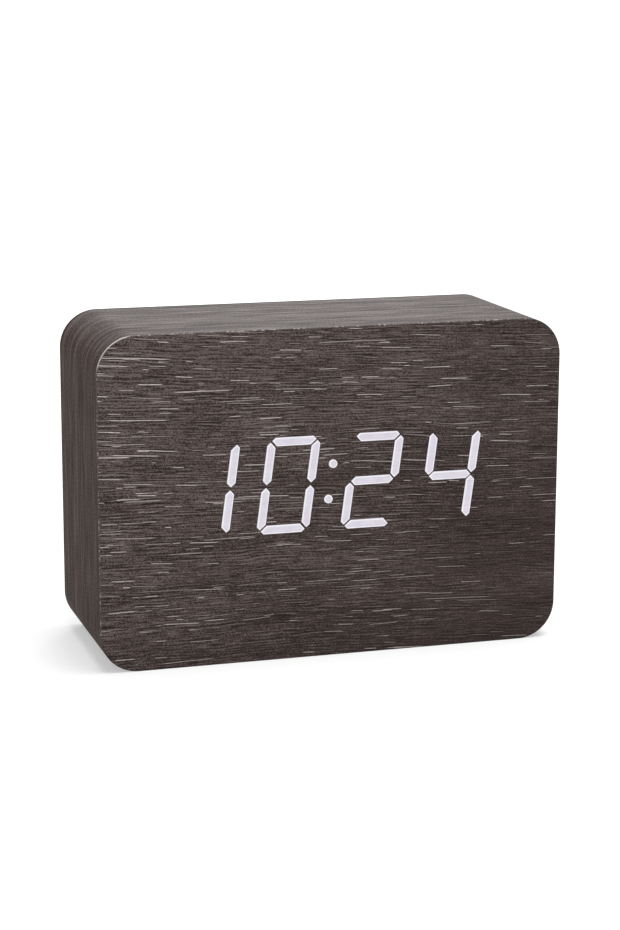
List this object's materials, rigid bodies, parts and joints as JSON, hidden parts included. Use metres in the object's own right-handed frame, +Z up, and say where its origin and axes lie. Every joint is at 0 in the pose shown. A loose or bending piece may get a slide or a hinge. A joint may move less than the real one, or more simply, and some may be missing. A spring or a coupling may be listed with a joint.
{
  "type": "digital led desk clock",
  "caption": "Free-standing rectangular desk clock with rounded corners, wood-grain film, a lit slanted seven-segment display, rear keys, battery bay and low-voltage inlet.",
  "frame": {"origin": "on the surface that the clock stands on, under the middle of the case", "axes": "+X to the right as the display is read, +Y from the display to the back, +Z up"},
  "size_m": [0.15, 0.057, 0.105],
  "materials": {
    "front_film": "dark wood-grain film, satin, pale pores",
    "wrap_film": "dark wood-grain film, satin",
    "fibreboard": "raw medium-density fibreboard",
    "lit_segment": "lit white through the film",
    "black_mask": "black printed film",
    "white_reflector": "moulded white",
    "diffuser_resin": "cast translucent resin",
    "led_chip": "phosphor-filled chip",
    "circuit_board": "green solder mask",
    "nylon": "natural nylon",
    "steel": "zinc plated",
    "chip_package": "moulded epoxy",
    "crystal_can": "drawn can",
    "capacitor_sleeve": "shrunk sleeve",
    "chip_resistor": "printed ceramic",
    "buzzer_case": "moulded black",
    "cover_plastic": "moulded black, fine spark texture",
    "key_plastic": "moulded, satin",
    "switch_body": "moulded black",
    "switch_plunger": "moulded black",
    "ribbon_sleeve": "grey flat cable",
    "jack_plastic": "moulded black",
    "contact_metal": "nickel plated",
    "lead_sleeve": "flexible insulation",
    "cell_wrap": "printed sleeve, plain"
  },
  "bodies": {
    "case": {"front_veneer": "front_film", "wrap_veneer": "wrap_film", "rim_veneer": "wrap_film", "front_board": "fibreboard", "case_top": "fibreboard", "case_bottom": "fibreboard", "case_left": "fibreboard", "case_right": "fibreboard", "hour_tens_segments": "lit_segment", "hour_units_segments": "lit_segment", "colon_dots": "lit_segment", "minute_tens_segments": "lit_segment", "minute_units_segments": "lit_segment", "display_mask": "black_mask", "display_reflector": "white_reflector", "segment_diffusers": "diffuser_resin", "display_leds": "led_chip", "main_board": "circuit_board", "board_spacers": "nylon", "board_screws": "steel", "clock_chip": "chip_package", "clock_crystal": "crystal_can", "smoothing_capacitors": "capacitor_sleeve", "chip_resistors": "chip_resistor", "alarm_buzzer": "buzzer_case", "lead_sockets": "nylon", "back_cover": "cover_plastic", "back_screws": "steel", "key_board": "circuit_board", "key_board_screws": "steel", "key_switches": "switch_body", "key_ribbon": "ribbon_sleeve", "dc_jack": "jack_plastic", "jack_pin": "contact_metal", "jack_contacts": "contact_metal", "power_leads": "lead_sleeve", "battery_leads": "lead_sleeve", "battery_cell_1": "cell_wrap", "battery_cell_2": "cell_wrap", "battery_cell_3": "cell_wrap", "battery_contacts": "contact_metal"},
    "set_key": {"set_button": "key_plastic", "set_plunger": "switch_plunger"},
    "up_key": {"up_button": "key_plastic", "up_plunger": "switch_plunger"},
    "down_key": {"down_button": "key_plastic", "down_plunger": "switch_plunger"},
    "door": {"battery_door": "cover_plastic"}
  },
  "joints": [
    {"name": "set_press", "type": "slide", "parent": "case", "child": "set_key", "axis": [0, -1, 0], "range_m": [0, 0.0005], "stiffness_N_per_m": 3000},
    {"name": "up_press", "type": "slide", "parent": "case", "child": "up_key", "axis": [0, -1, 0], "range_m": [0, 0.0005], "stiffness_N_per_m": 3000},
    {"name": "down_press", "type": "slide", "parent": "case", "child": "down_key", "axis": [0, -1, 0], "range_m": [0, 0.0005], "stiffness_N_per_m": 3000},
    {"name": "door_swing", "type": "hinge", "parent": "case", "child": "door", "pos_m": [0, 0.0263, 0.01705], "axis": [-1, 0, 0], "range_deg": [0, 95]}
  ]
}
